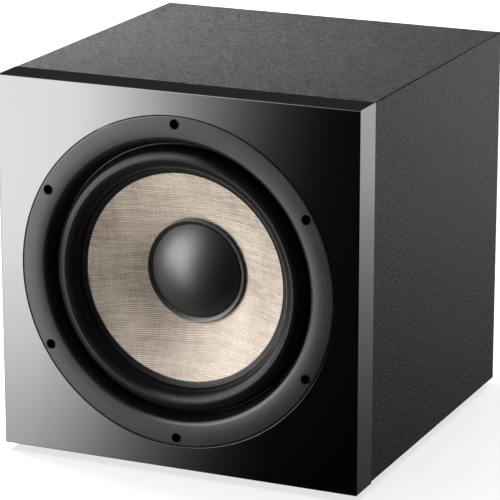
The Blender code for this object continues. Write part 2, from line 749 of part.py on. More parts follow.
def make_auto_switch():
    """A small bat-handle toggle in a round bush."""
    bush = [
        (0.0022, DEPTH - 0.0080), (0.0030, DEPTH - 0.0080), (0.0030, DEPTH + GAP),
        (0.0055, DEPTH + GAP), (0.0055, DEPTH + 0.0022), (0.0034, DEPTH + 0.0026),
        (0.0034, DEPTH + 0.0044), (0.0030, DEPTH + 0.0044), (0.0022, DEPTH + 0.0020),
    ]
    turned("toggle_bush", bush, "zinc", SMALL, centre=(TOGGLE_X, KNOB_Z))
    lever = [
        (0.0, DEPTH - 0.0040), (0.0010, DEPTH - 0.0040), (0.0012, DEPTH + 0.0040),
        (0.0016, DEPTH + 0.0110), (0.0010, DEPTH + 0.0122), (0.0, DEPTH + 0.0124),
    ]
    turned(
        "auto_toggle", lever, "zinc", TINY, centre=(TOGGLE_X, KNOB_Z),
        origin=at_depth(TOGGLE_X, DEPTH + 0.0004, KNOB_Z),
    )


def make_mains_inlet():
    """A panel inlet with three flat pins in its well, and a fuse drawer above the well."""
    z = SOCKET_ROW_Z
    body = block(
        "mains_inlet", at_depth(INLET_X - INLET_HALF_W, DEPTH - 0.0220, z - INLET_HALF_H),
        at_depth(INLET_X + INLET_HALF_W, DEPTH + 0.0010, z + INLET_HALF_H), "black_plastic",
    )
    rim_w = INLET_HALF_W + INLET_RIM
    rim_h = INLET_HALF_H + INLET_RIM
    flange = block(
        "inlet_flange", at_depth(INLET_X - rim_w, DEPTH + GAP, z - rim_h),
        at_depth(INLET_X + rim_w, DEPTH + 0.0030, z + rim_h), None,
    )
    unite(body, flange)
    past = DEPTH + CUT_PAST
    well = box_cutter("inlet_well", INLET_X, z - WELL_DROP, 0.0240, 0.0162, DEPTH - 0.0160, past)
    slot = box_cutter("drawer_slot", INLET_X, z + DRAWER_RISE, 0.0216, 0.0096, DEPTH - 0.0200, past)
    cut(body, well, slot)
    pins = []
    for i, (dx, dz) in enumerate(((-0.0070, -0.0090), (0.0, -0.0050), (0.0070, -0.0090))):
        pin = box_cutter(
            f"inlet_pin_{i}", INLET_X + dx, z + dz, 0.0020, 0.0040, DEPTH - 0.0170, DEPTH - 0.0040,
        )
        pins.append(pin)
    unite(body, *pins)
    drawer_z = z + DRAWER_RISE
    block(
        "fuse_drawer", at_depth(INLET_X - DRAWER_HALF_W, DEPTH - 0.0190, drawer_z - DRAWER_HALF_H),
        at_depth(INLET_X + DRAWER_HALF_W, DEPTH + 0.0038, drawer_z + DRAWER_HALF_H),
        "black_plastic", bevel=0.0004,
    )


def make_jacks_and_lens():
    jack = [
        (0.0, DEPTH - 0.0060), (0.0041, DEPTH - 0.0060), (0.0041, DEPTH + GAP),
        (0.0066, DEPTH + GAP), (0.0066, DEPTH + 0.0024), (0.0042, DEPTH + 0.0026),
        (0.0042, DEPTH + 0.0124), (0.0036, DEPTH + 0.0130), (0.0017, DEPTH + 0.0130),
        (0.0017, DEPTH + 0.0010), (0.0, DEPTH + 0.0010),
    ]
    for i, x in enumerate(RCA_X):
        turned(f"rca_jack_{i + 1}", jack, "zinc", SMALL, centre=(x, SOCKET_ROW_Z))
    lens = [
        (0.0, DEPTH - 0.0060), (0.0015, DEPTH - 0.0060), (0.0015, DEPTH + GAP),
        (0.0026, DEPTH + GAP), (0.0024, DEPTH + 0.0012), (0.0014, DEPTH + 0.0019),
        (0.0, DEPTH + 0.0021),
    ]
    turned("status_lens", lens, "lens", SMALL, centre=(LENS_X, KNOB_Z))


def main():
    clear_scene()
    make_baffle()
    make_walls()
    make_rear_panel()
    make_window_brace()
    make_feet()
    make_trim_ring()
    make_grille_sockets()
    make_basket()
    make_driver_gasket()
    make_driver_screws()
    make_surround()
    make_cone()
    make_dust_cap()
    make_motor()
    make_amp_plate()
    make_amp_gasket()
    make_amp_screws()
    make_amp_inside()
    make_heat_sink()
    make_knobs()
    make_power_switch()
    make_auto_switch()
    make_mains_inlet()
    make_jacks_and_lens()


main()
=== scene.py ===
"""Looks of an active subwoofer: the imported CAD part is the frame, and the visible surfaces go round it.

All lengths are metres. The baffle faces -Y, the amplifier plate faces +Y and Z is up. An outline is a list
of (radius, depth) points, the depth counted rearwards from the baffle's face, or up from the floor for the
feet. A third value in a point is the radius that rounds this corner.
"""

import math

import bmesh
import bpy
from mathutils import Matrix, Vector


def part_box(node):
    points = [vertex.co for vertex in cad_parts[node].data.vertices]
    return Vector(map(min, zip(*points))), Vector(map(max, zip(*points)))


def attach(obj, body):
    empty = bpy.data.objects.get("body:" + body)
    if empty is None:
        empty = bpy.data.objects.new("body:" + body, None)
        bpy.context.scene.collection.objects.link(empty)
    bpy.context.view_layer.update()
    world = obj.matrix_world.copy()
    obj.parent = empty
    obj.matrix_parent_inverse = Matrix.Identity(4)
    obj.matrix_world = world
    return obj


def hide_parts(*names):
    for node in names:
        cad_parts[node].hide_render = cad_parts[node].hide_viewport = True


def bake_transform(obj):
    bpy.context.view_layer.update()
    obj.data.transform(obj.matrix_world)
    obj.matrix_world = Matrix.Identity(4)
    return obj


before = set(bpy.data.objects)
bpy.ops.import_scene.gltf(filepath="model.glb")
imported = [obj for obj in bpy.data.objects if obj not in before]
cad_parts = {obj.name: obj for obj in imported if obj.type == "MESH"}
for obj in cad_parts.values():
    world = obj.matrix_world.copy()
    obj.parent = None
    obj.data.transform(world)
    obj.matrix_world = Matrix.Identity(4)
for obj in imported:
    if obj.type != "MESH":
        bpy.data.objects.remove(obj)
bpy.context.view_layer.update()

STEPS_LARGE = 240   # sides of a woofer-sized turned piece
STEPS_SMALL = 48    # sides of a small one
STEPS_RING = 360    # sides of the glossy rings, where facets would show
CREASE = 32         # degrees between two faces that still shade as one

baffle_low, baffle_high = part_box("front_baffle")
FRONT = baffle_low.y
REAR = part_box("rear_panel")[1].y
AXIS_X = (baffle_low.x + baffle_high.x) / 2
AXIS_Z = (baffle_low.z + baffle_high.z) / 2
AXIS = (AXIS_X, AXIS_Z)


# -------------------- shader nodes
def feed(tree, socket, value):
    """Links a node's output to a socket, or sets the socket to a number, vector or colour."""
    if isinstance(value, bpy.types.NodeSocket):
        tree.links.new(value, socket)
    elif socket.type == "RGBA":
        socket.default_value = (*value, 1.0)
    else:
        socket.default_value = value


class Finish:
    """One node material built round a Principled shader."""

    def __init__(self, name, colour=None, roughness=0.5, metallic=0.0, **more):
        self.material = bpy.data.materials.new(name)
        self.material.use_nodes = True
        self.tree = self.material.node_tree
        self.shader = self.tree.nodes["Principled BSDF"]
        self.place = self.node("TexCoord").outputs["Object"]
        self.relief = None
        self.set("Roughness", roughness)
        self.set("Metallic", metallic)
        if colour is not None:
            self.set("Base Color", colour)
        for key, value in more.items():
            self.set(key.replace("_", " "), value)

    def set(self, key, value):
        feed(self.tree, self.shader.inputs[key], value)

    def node(self, kind, sockets=None, **settings):
        made = self.tree.nodes.new("ShaderNode" + kind)
        for key, value in settings.items():
            setattr(made, key, value)
        for key, value in (sockets or {}).items():
            feed(self.tree, made.inputs[key], value)
        return made

    def math(self, operation, *values, clamp=False):
        made = self.node("Math", dict(enumerate(values)), operation=operation)
        made.use_clamp = clamp
        return made.outputs[0]

    def vmath(self, operation, *values):
        return self.node("VectorMath", dict(enumerate(values)), operation=operation).outputs[0]

    def split(self, vector):
        return self.node("SeparateXYZ", {0: vector}).outputs

    def joined(self, x, y, z):
        return self.node("CombineXYZ", {0: x, 1: y, 2: z}).outputs[0]

    def stretched(self, x, y, z):
        return self.vmath("MULTIPLY", self.place, (x, y, z))

    def noise(self, scale, detail=2.0, rough=0.5, vector=None):
        sockets = {"Vector": vector or self.place, "Scale": scale, "Detail": detail, "Roughness": rough}
        return self.node("TexNoise", sockets).outputs["Fac"]

    def cells(self, scale, feature="F1"):
        made = self.node("TexVoronoi", {"Vector": self.place, "Scale": scale}, feature=feature)
        return made.outputs["Distance"]

    def ramp(self, factor, *stops):
        """Stops are (position, colour)."""
        made = self.node("ValToRGB", {"Fac": factor})
        for element, (position, colour) in zip(made.color_ramp.elements, stops):
            element.position = position
            element.color = (*colour, 1)
        return made.outputs["Color"]

    def range(self, factor, low, high, from_low=0.0, from_high=1.0):
        """Maps a factor from one range to another."""
        made = self.node("MapRange", {
            "Value": factor, "From Min": from_low, "From Max": from_high, "To Min": low, "To Max": high,
        })
        return made.outputs["Result"]

    def mix(self, factor, a, b):
        """From colour a to colour b."""
        return self.node("Mix", {0: factor, 6: a, 7: b}, data_type="RGBA").outputs[2]

    def bump(self, height, distance, strength=1.0):
        sockets = {"Height": height, "Distance": distance, "Strength": strength}
        if self.relief is not None:
            sockets["Normal"] = self.relief
        self.relief = self.node("Bump", sockets).outputs["Normal"]
        self.tree.links.new(self.relief, self.shader.inputs["Normal"])


def lacquer_finish():
    """Polished black lacquer: deep, with the faintest orange peel."""
    f = Finish("lacquer_gloss", (0.0012, 0.0012, 0.0014))
    f.set("Roughness", f.range(f.noise(14, 3), 0.025, 0.050, 0.35, 0.65))
    f.bump(f.noise(170, 1.5), 0.0000014)
    return f.material


def vinyl_finish():
    """Fine-grained black wrap: small pebbles with darker valleys, in faint clusters."""
    f = Finish("vinyl_wrap", Specular_IOR_Level=0.09)
    pebbles = f.cells(620, feature="SMOOTH_F1")
    fibres = f.noise(430, 3, 0.6)
    clusters = f.noise(190, 2, 0.5)
    fine = f.noise(1500, 2, 0.5)
    speckle = f.math("ADD", f.math("MULTIPLY", fibres, 0.6), f.math("MULTIPLY", clusters, 0.4))
    tone = f.math("ADD", f.math("MULTIPLY", pebbles, 0.5), speckle)
    f.set("Base Color", f.ramp(tone, (0.58, (0.009, 0.009, 0.0092)), (0.92, (0.046, 0.046, 0.047))))
    f.set("Roughness", f.range(fine, 0.42, 0.56, 0.3, 0.7))
    f.bump(pebbles, 0.00050, 0.80)
    f.bump(fibres, 0.00040, 0.80)
    return f.material


def moulded_finish(name, colour, low, high, grain, depth, tint=1.25, level=0.5):
    """Moulded plastic or rubber: a fine even grain, slightly uneven in tone and gloss.

    low and high bound the roughness, grain is the fine noise's scale and depth its relief."""
    f = Finish(name, Specular_IOR_Level=level)
    broad = f.noise(22, 3, 0.6)
    fine = f.noise(grain, 2, 0.6)
    lighter = tuple(c * tint for c in colour)
    f.set("Base Color", f.mix(f.range(broad, 0, 1, 0.35, 0.65), colour, lighter))
    unevenness = f.math("ADD", broad, f.math("MULTIPLY", fine, 0.5))
    f.set("Roughness", f.range(unevenness, low, high, 0.55, 0.95))
    f.bump(fine, depth)
    return f.material


def metal_finish(name, colour, low, high, grain, depth):
    """Bare or plated metal with faint blotches; the numbers are those of moulded_finish."""
    f = Finish(name, metallic=1.0)
    broad = f.noise(35, 4, 0.6)
    fine = f.noise(grain, 3, 0.6)
    darker = tuple(c * 0.72 for c in colour)
    f.set("Base Color", f.mix(f.range(broad, 0, 1, 0.3, 0.7), darker, colour))
    f.set("Roughness", f.range(f.math("ADD", broad, fine), low, high, 0.7, 1.3))
    f.bump(fine, depth)
    return f.material


def flax_finish():
    """Woven flax under a thin resin skin: pale weft threads across, thinner warp threads up and down."""
    f = Finish("flax_weave", Specular_IOR_Level=0.62)
    weft_pitch = 0.00185
    warp_pitch = 0.00205
    thread_colour = (0.760, 0.685, 0.585)
    brown_gap, sandy_gap = (0.110, 0.060, 0.030), (0.265, 0.196, 0.136)
    half = (0.5, 0.5, 0.5)

    def wander(scale, vector, reach):
        """Shifts the threads by up to half of reach either way."""
        made = f.node("TexNoise", {"Vector": vector, "Scale": scale, "Detail": 2.0}).outputs["Color"]
        return f.vmath("MULTIPLY", f.vmath("SUBTRACT", made, half), (reach, 0.0, reach))

    soft = wander(17.0, f.place, 0.014)
    quick = wander(120.0, f.stretched(0.6, 1, 1), 0.0010)
    place = f.vmath("ADD", f.vmath("ADD", f.place, soft), quick)
    x, _, z = f.split(place)
    row = f.math("DIVIDE", z, weft_pitch)
    column = f.math("DIVIDE", x, warp_pitch)
    row_id = f.math("FLOOR", row)
    column_id = f.math("FLOOR", column)

    def thread(position):
        """1 along a thread's middle, 0 in the gap beside it."""
        inside = f.math("FRACT", position)
        away = f.math("ABSOLUTE", f.math("SUBTRACT", inside, 0.5))
        return f.math("POWER", f.math("SUBTRACT", 1.0, f.math("MULTIPLY", away, 2.0)), 1.15)

    def chance(number, offset):
        """A value of its own for each thread."""
        made = f.node("TexWhiteNoise", {"W": f.math("ADD", number, offset)}, noise_dimensions="1D")
        return made.outputs["Value"]

    def drawn_out(stretch, rough):
        """Noise drawn out along the threads by different scales in x and z."""
        return f.noise(1.0, 3, rough, vector=f.vmath("MULTIPLY", place, stretch))

    def times(first, *others):
        for other in others:
            first = f.math("MULTIPLY", first, other)
        return first

    weft = thread(row)
    warp = thread(column)
    weft_tone = chance(row_id, 0.37)
    warp_tone = chance(column_id, 31.7)
    positive = 4000.0    # keeps the modulo's argument above 0
    parity = f.math("MODULO", f.math("ADD", f.math("ADD", row_id, column_id), positive), 2.0)
    weft_up = f.range(parity, 0.84, 1.0)
    warp_up = f.math("SUBTRACT", 1.0, parity)
    strands = drawn_out((90, 1, 2600), 0.7)
    strands_up = drawn_out((2400, 1, 80), 0.7)
    streaks = drawn_out((55, 1, 330), 0.6)
    streaks_up = drawn_out((420, 1, 60), 0.6)
    along_row = f.joined(f.math("MULTIPLY", x, 60), f.math("MULTIPLY", row_id, 3.7), 0.0)
    slubs = f.noise(1.0, 3, 0.6, vector=along_row)
    patches = f.noise(16, 3, 0.55)
    weft_gain = times(f.range(slubs, 0.70, 1.25, 0.3, 0.7), f.range(streaks, 0.72, 1.25, 0.3, 0.7))
    weft_light = times(times(weft, weft_up), weft_gain)
    warp_gain = times(f.range(strands_up, 0.65, 1.0, 0.2, 0.8), f.range(streaks_up, 0.3, 1.3, 0.35, 0.7))
    warp_light = times(times(warp, f.range(warp_up, 0.45, 1.0)), warp_gain)
    light = times(
        f.math("MAXIMUM", weft_light, warp_light), f.range(weft_tone, 0.80, 1.15),
        f.range(warp_tone, 0.92, 1.08), f.range(patches, 0.88, 1.10, 0.36, 0.64),
    )
    ground = f.mix(f.range(patches, 0, 1, 0.38, 0.62), brown_gap, sandy_gap)
    f.set("Base Color", f.mix(f.math("MULTIPLY", light, 1.0, clamp=True), ground, thread_colour))
    f.set("Roughness", f.range(strands, 0.42, 0.60, 0.3, 0.7))
    f.bump(light, 0.00020, 0.8)
    f.bump(strands, 0.00005, 0.5)
    return f.material


def board_finish():
    """Raw fibreboard: sandy, with darker flecks."""
    f = Finish("fibreboard", roughness=0.85)
    flecks = f.noise(900, 3, 0.7, vector=f.stretched(1, 1, 2.2))
    f.set("Base Color", f.mix(f.range(flecks, 0, 1, 0.35, 0.7), (0.30, 0.20, 0.11), (0.52, 0.38, 0.23)))
    f.bump(flecks, 0.00008)
    return f.material


def cloth_finish():
    """Varnished cotton of the spider: a fine crossed weave."""
    f = Finish("spider_weave", roughness=0.8)
    x, _, z = f.split(f.place)
    across = f.math("SINE", f.math("MULTIPLY", x, 6200.0))
    upward = f.math("SINE", f.math("MULTIPLY", z, 6200.0))
    weave = f.range(f.math("MULTIPLY", across, upward), 0, 1, -1, 1)
    blot = f.noise(60, 3)
    deep = f.mix(blot, (0.34, 0.22, 0.05), (0.48, 0.34, 0.10))
    f.set("Base Color", f.mix(weave, deep, (0.60, 0.45, 0.16)))
    f.bump(weave, 0.00010)
    return f.material


def copper_finish():
    """Enamelled copper wire laid in close turns."""
    f = Finish("copper_wire", metallic=1.0, roughness=0.3)
    _, y, _ = f.split(f.place)
    turns = f.math("ABSOLUTE", f.math("SINE", f.math("MULTIPLY", y, 7800.0)))
    f.set("Base Color", f.mix(f.noise(80, 2), (0.60, 0.22, 0.08), (0.80, 0.40, 0.18)))
    f.set("Roughness", f.range(turns, 0.45, 0.25))
    f.bump(turns, 0.00015)
    return f.material


def circuit_finish():
    """Solder-mask green with lighter tracks."""
    f = Finish("circuit_green", roughness=0.4)
    tracks = f.cells(95, feature="DISTANCE_TO_EDGE")
    line = f.math("LESS_THAN", tracks, 0.06)
    f.set("Base Color", f.mix(line, (0.010, 0.110, 0.045), (0.030, 0.240, 0.100)))
    f.set("Roughness", f.range(f.noise(200), 0.30, 0.48, 0.3, 0.7))
    f.bump(line, 0.00004)
    return f.material


def lens_finish():
    """Clear lens over the status lamp."""
    f = Finish("lamp_lens", roughness=0.12, Transmission_Weight=0.55, IOR=1.49)
    f.set("Base Color", f.mix(f.noise(500, 2), (0.60, 0.66, 0.70), (0.82, 0.86, 0.88)))
    f.bump(f.cells(1800), 0.00003)
    return f.material


def powder_finish():
    """Black powder coat on folded sheet: a fine pebbly skin."""
    f = Finish("powder_coat")
    pebble = f.noise(1300, 3, 0.55)
    broad = f.noise(12, 3)
    valley, crest = (0.014, 0.014, 0.016), (0.032, 0.032, 0.034)
    f.set("Base Color", f.mix(f.range(pebble, 0, 1, 0.35, 0.65), valley, crest))
    f.set("Roughness", f.range(f.math("ADD", pebble, broad), 0.42, 0.60, 0.75, 1.25))
    f.bump(pebble, 0.00010)
    return f.material


def print_finish(name, colour):
    """Screen-printed ink."""
    f = Finish(name, roughness=0.6)
    f.set("Base Color", f.mix(f.noise(2600, 2), tuple(c * 0.85 for c in colour), colour))
    f.bump(f.noise(3000, 1), 0.00001)
    return f.material


FINISH = {
    "lacquer": lacquer_finish(),
    "wrap": vinyl_finish(),
    "board": board_finish(),
    "ring_plastic": moulded_finish(
        "ring_satin", (0.0060, 0.0060, 0.0065), 0.25, 0.29, 2000, 0.000020, level=0.18,
    ),
    "rubber": moulded_finish(
        "black_rubber", (0.0065, 0.0065, 0.0072), 0.22, 0.26, 1900, 0.000008, level=0.075,
    ),
    "flax": flax_finish(),
    "cap": moulded_finish(
        "cap_satin", (0.0030, 0.0030, 0.0032), 0.42, 0.46, 2600, 0.000006, level=0.47,
    ),
    "cast_alloy": moulded_finish("cast_painted", (0.040, 0.040, 0.043), 0.45, 0.60, 1200, 0.000060),
    "steel": metal_finish("plain_steel", (0.42, 0.42, 0.43), 0.30, 0.46, 700, 0.000020),
    "ferrite": moulded_finish("ferrite_grey", (0.050, 0.050, 0.055), 0.60, 0.80, 500, 0.000080, 1.5),
    "copper": copper_finish(),
    "spider_cloth": cloth_finish(),
    "black_plastic": moulded_finish("black_moulding", (0.016, 0.016, 0.017), 0.34, 0.48, 2100, 0.000025),
    "amp_metal": powder_finish(),
    "zinc": metal_finish("zinc_plate", (0.66, 0.66, 0.68), 0.22, 0.38, 900, 0.000012),
    "board_green": circuit_finish(),
    "lens": lens_finish(),
}
SOCKET_BLACK = moulded_finish(
    "socket_black", (0.0008, 0.0008, 0.0009), 0.70, 0.80, 1700, 0.000015, level=0.04,
)
INK = print_finish("white_ink", (0.72, 0.72, 0.70))
RED = moulded_finish("red_insulator", (0.45, 0.020, 0.018), 0.30, 0.42, 1500, 0.000010)
PALE = moulded_finish("pale_insulator", (0.62, 0.61, 0.57), 0.30, 0.42, 1500, 0.000010)
NICKEL = metal_finish("nickel_pins", (0.70, 0.67, 0.60), 0.18, 0.30, 1100, 0.000008)


# -------------------- shapes
def fillet(outline, steps=4, closed=True):
    """Rounds each corner that has a third value, its radius."""
    made = []
    count = len(outline)
    for i, point in enumerate(outline):
        size = point[2] if len(point) > 2 else 0.0
        here = Vector(point[:2])
        if not size or (not closed and i in (0, count - 1)):
            made.append(tuple(here))
            continue
        before = Vector(outline[i - 1][:2]) - here
        after = Vector(outline[(i + 1) % count][:2]) - here
        half = before.angle(after) / 2
        reach = min(size / math.tan(half), before.length * 0.49, after.length * 0.49)
        size = reach * math.tan(half)
        middle = here + (before.normalized() + after.normalized()).normalized() * (size / math.sin(half))
        first = here + before.normalized() * reach
        last = here + after.normalized() * reach
        start = first - middle
        turn = start.angle_signed(last - middle)
        for k in range(steps + 1):
            angle = -turn * k / steps
            made.append((
                middle.x + start.x * math.cos(angle) - start.y * math.sin(angle),
                middle.y + start.x * math.sin(angle) + start.y * math.cos(angle),
            ))
    return made


def object_from(name, bm, material=None, crease=CREASE):
    bmesh.ops.recalc_face_normals(bm, faces=bm.faces)
    mesh = bpy.data.meshes.new(name)
    bm.to_mesh(mesh)
    bm.free()
    mesh.shade_smooth()
    mesh.set_sharp_from_angle(angle=math.radians(crease))
    made = bpy.data.objects.new(name, mesh)
    bpy.context.scene.collection.objects.link(made)
    if material:
        mesh.materials.append(material)
    return made


def lathe(name, outline, material=None, centre=AXIS, steps=STEPS_LARGE, base=FRONT, ripple=None,
          crease=CREASE, twist=0.0, upright=False):
    """Spins a closed outline of (radius, depth) about an axis along Y, or along Z when upright.

    ripple(radius, depth, angle) gives a change of radius, for flutes and flats."""
    bm = bmesh.new()

    def vertex(reach, depth, angle):
        across = centre[0] + reach * math.cos(angle)
        along = centre[1] + reach * math.sin(angle)
        spot = (across, along, base + depth) if upright else (across, base + depth, along)
        return bm.verts.new(spot)

    rings = []
    for radius, depth in outline:
        if radius < 1e-7:
            rings.append([vertex(0.0, depth, 0.0)])
            continue
        ring = []
        for k in range(steps):
            angle = 2 * math.pi * k / steps + twist
            reach = radius + (ripple(radius, depth, angle) if ripple else 0.0)
            ring.append(vertex(reach, depth, angle))
        rings.append(ring)
    for i, ring in enumerate(rings):
        other = rings[(i + 1) % len(rings)]
        if len(ring) == 1 and len(other) == 1:
            continue
        for k in range(steps):
            n = (k + 1) % steps
            corners = (
                ring[k % len(ring)], other[k % len(other)], other[n % len(other)], ring[n % len(ring)],
            )
            unique = list(dict.fromkeys(corners))
            if len(unique) > 2:
                bm.faces.new(unique)
    return object_from(name, bm, material, crease)


def slab(name, low, high, material=None, round_edge=0.0, segments=3):
    """A board between two corners with rounded edges."""
    bm = bmesh.new()
    bmesh.ops.create_cube(bm, size=1.0)
    low, high = Vector(low), Vector(high)
    bmesh.ops.scale(bm, vec=high - low, verts=bm.verts)
    bmesh.ops.translate(bm, vec=(high + low) / 2, verts=bm.verts)
    if round_edge:
        bmesh.ops.bevel(
            bm, geom=list(bm.edges), offset=round_edge, segments=segments, profile=0.5, affect="EDGES",
        )
    return object_from(name, bm, material)


def weighted(obj):
    """Keeps large flat faces flat where they meet rounded edges."""
    change = obj.modifiers.new("even_normals", "WEIGHTED_NORMAL")
    change.keep_sharp = True
    change.weight = 100


def settle(obj):
    """Applies the modifiers into a new mesh."""
    graph = bpy.context.evaluated_depsgraph_get()
    mesh = bpy.data.meshes.new_from_object(obj.evaluated_get(graph))
    obj.modifiers.clear()
    obj.data = mesh
    return obj


def carve(target, *cutters, crease=CREASE, how="DIFFERENCE"):
    """Takes the cutters out of the target, or adds them, and removes them."""
    for cutter in cutters:
        change = target.modifiers.new("carve", "BOOLEAN")
        change.operation = how
        change.solver = "EXACT"
        change.object = cutter
    bpy.context.view_layer.update()
    settle(target)
    for cutter in cutters:
        bpy.data.objects.remove(cutter)
    target.data.shade_smooth()
    target.data.set_sharp_from_angle(angle=math.radians(crease))


def joined(name, parts):
    """One object out of several meshes of one material that are already in place."""
    bm = bmesh.new()
    for part in parts:
        bm.from_mesh(part.data)
    material = parts[0].data.materials[0]
    for part in parts:
        bpy.data.objects.remove(part)
    return object_from(name, bm, material)


def settle_in(piece, body, slot_name, *nodes):
    """Puts a finished piece on its body and hides the CAD nodes it stands in for; slot_name is not used."""
    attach(piece, body)
    if nodes:
        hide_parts(*nodes)


def soften(node, edge, segments=2, limit=30):
    """Rounds a CAD node's edges that turn by more than limit degrees."""
    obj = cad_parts[node]
    weld = obj.modifiers.new("weld", "WELD")
    weld.merge_threshold = 0.000001
    round_off = obj.modifiers.new("soft_edges", "BEVEL")
    round_off.width = edge
    round_off.segments = segments
    round_off.limit_method = "ANGLE"
    round_off.angle_limit = math.radians(limit)
    weighted(obj)


def ring_of(count, radius, first_degrees):
    """Places (x, z) spaced evenly round the woofer's axis."""
    turns = [math.radians(first_degrees + 360.0 / count * i) for i in range(count)]
    return [(AXIS_X + radius * math.cos(t), AXIS_Z + radius * math.sin(t)) for t in turns]


def centre_of(node):
    """The (x, z) middle of a node."""
    low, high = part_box(node)
    return (low.x + high.x) / 2, (low.z + high.z) / 2


# -------------------- finishes on every CAD node
for node_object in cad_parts.values():
    slot_name = node_object.data.materials[0].name.split(".")[0]
    node_object.data.materials.clear()
    node_object.data.materials.append(FINISH[slot_name])


# -------------------- cabinet
def make_baffle():
    """Gloss front board: rounded edges, a stepped opening with a broken edge, screw pilots in the ledge."""
    board = slab("baffle_lacquer", baffle_low, baffle_high, FINISH["lacquer"], 0.0010, 4)
    recess = RING_R + 0.0004
    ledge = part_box("driver_basket")[0].y - FRONT + 0.0086
    through = 0.1560
    thick = baffle_high.y - FRONT
    broken = 0.0007
    past = 0.01
    cutter = lathe("opening", fillet([
        (0.0, -past), (recess + broken * 3, -past), (recess + broken * 3, -0.0001, 0.0002),
        (recess + broken, -0.0001), (recess + 0.00025, 0.00022), (recess, broken), (recess, ledge),
        (through, ledge), (through, thick + past), (0.0, thick + past),
    ]))
    pilots = []
    pilot_r, pilot_top, pilot_end = 0.0023, ledge - 0.002, 0.030
    for i, spot in enumerate(ring_of(6, 0.1588, 60)):
        pilots.append(lathe(
            f"pilot_{i}", [(0.0, pilot_top), (pilot_r, pilot_top), (pilot_r, pilot_end), (0.0, pilot_end)],
            centre=spot, steps=20, twist=0.11,
        ))
    carve(board, cutter, *pilots)
    weighted(board)
    settle_in(board, "cabinet", "lacquer", "front_baffle")


def make_walls():
    """The wrapped boards, with a dark seam where the top meets each side."""
    for node in ("top_panel", "bottom_panel", "left_panel", "right_panel"):
        soften(node, 0.00045, 3, 25)
    low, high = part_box("right_panel")
    sunk, proud, short = 0.0008, 0.0001, 0.0002
    for name, side in (("edge_seam_left", -1), ("edge_seam_right", 1)):
        inner, outer = sorted((side * (high.x - sunk), side * (high.x + proud)))
        bead = slab(
            name, (inner, low.y, high.z - sunk), (outer, high.y - short, high.z + proud),
            SOCKET_BLACK, 0.0003, 2,
        )
        settle_in(settle(bead), "cabinet", "wrap")
    soften("rear_panel", 0.0004)
    soften("window_brace", 0.0005)


def make_feet():
    """Rubber feet with a rounded tread, a groove round the side and a sunk screw; depths go up from 0."""
    for node in ("foot_front_left", "foot_front_right", "foot_rear_left", "foot_rear_right"):
        low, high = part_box(node)
        centre = ((low.x + high.x) / 2, (low.y + high.y) / 2)
        tall = high.z - low.z
        outline = fillet([
            (0.0, 0.0042), (0.0040, 0.0042), (0.0040, 0.0, 0.0005), (0.0158, 0.0, 0.0010),
            (0.01655, 0.0034, 0.0002), (0.0161, 0.0038), (0.0161, 0.0044), (0.0168, 0.0048, 0.0002),
            (0.0176, tall, 0.0003), (0.0, tall),
        ])
        foot = lathe(node + "_tread", outline, FINISH["rubber"], centre, 64, base=0.0, upright=True)
        settle_in(foot, "cabinet", "rubber", node)
        head = lathe(node + "_screw", fillet([
            (0.0, 0.0040), (0.0, 0.0026), (0.0012, 0.0026), (0.0012, 0.0020), (0.0030, 0.0022, 0.0005),
            (0.0034, 0.0032), (0.0034, 0.0040),
        ]), FINISH["steel"], centre, 32, base=0.0, upright=True)
        settle_in(head, "cabinet", "steel")


# -------------------- woofer
RING_R = (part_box("trim_ring")[1].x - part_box("trim_ring")[0].x) / 2
LIP_R = 0.1392
LIP_DEPTH = 0.0188
SOCKETS = ring_of(6, 0.1623, 90)
SOCKET_R = (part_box("grille_socket_1")[1].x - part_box("grille_socket_1")[0].x) / 2
CREST_R = 0.1260
HALF_ROLL = 0.0120
RUBBER_SHEET = 0.0015
ROLL_FOOT = 0.0194    # depth of both feet of the roll
ROLL_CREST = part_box("surround")[0].y - FRONT
CONE_EDGE_R = 0.1076
CONE_EDGE_DEPTH = 0.0205
CONE_SLOPE = 0.575    # depth gained per radius lost


def cone_depth(radius):
    return CONE_EDGE_DEPTH + (CONE_EDGE_R - radius) * CONE_SLOPE


def make_trim_ring():
    """Satin ring: a gentle crown, then a tight roll into a steep throat, with six holes for the sockets."""
    rim = RING_R - 0.0006
    crown_r = 0.1490
    crown_tilt = math.radians(6.5)
    throat_tilt = math.radians(66)
    roll = 0.0060
    steps = 24
    wide = rim - crown_r
    sag = math.tan(crown_tilt) / (3 * wide ** 2)
    face = [(RING_R, 0.0012), (RING_R, 0.0002, 0.0006)]
    for i in range(1, steps):
        inwards = wide * i / steps
        face.append((rim - inwards, sag * inwards ** 3))
    for i in range(steps + 1):
        tilt = crown_tilt + (throat_tilt - crown_tilt) * i / steps
        inwards = roll * (math.sin(tilt) - math.sin(crown_tilt))
        face.append((crown_r - inwards, sag * wide ** 3 + roll * (math.cos(crown_tilt) - math.cos(tilt))))
    face.append((LIP_R, LIP_DEPTH))
    behind = 0.0075
    back = [(0.1420, LIP_DEPTH + 0.0002), (0.1450, 0.0130, 0.002), (0.1500, behind, 0.002), (RING_R, behind)]
    ring = lathe("ring_satin", fillet(face + back), FINISH["ring_plastic"], steps=STEPS_RING, crease=28)
    hole_r = SOCKET_R + 0.00025
    flare_r = hole_r + 0.0005
    holes = []
    for i, spot in enumerate(SOCKETS):
        holes.append(lathe(f"hole_{i}", [
            (0.0, -0.004), (flare_r, -0.004), (flare_r, -0.0001), (hole_r, 0.0004), (hole_r, 0.02),
            (0.0, 0.02),
        ], centre=spot, steps=STEPS_SMALL, twist=0.05))
    carve(ring, *holes, crease=28)
    weighted(ring)
    settle_in(ring, "cabinet", "ring_plastic", "trim_ring")


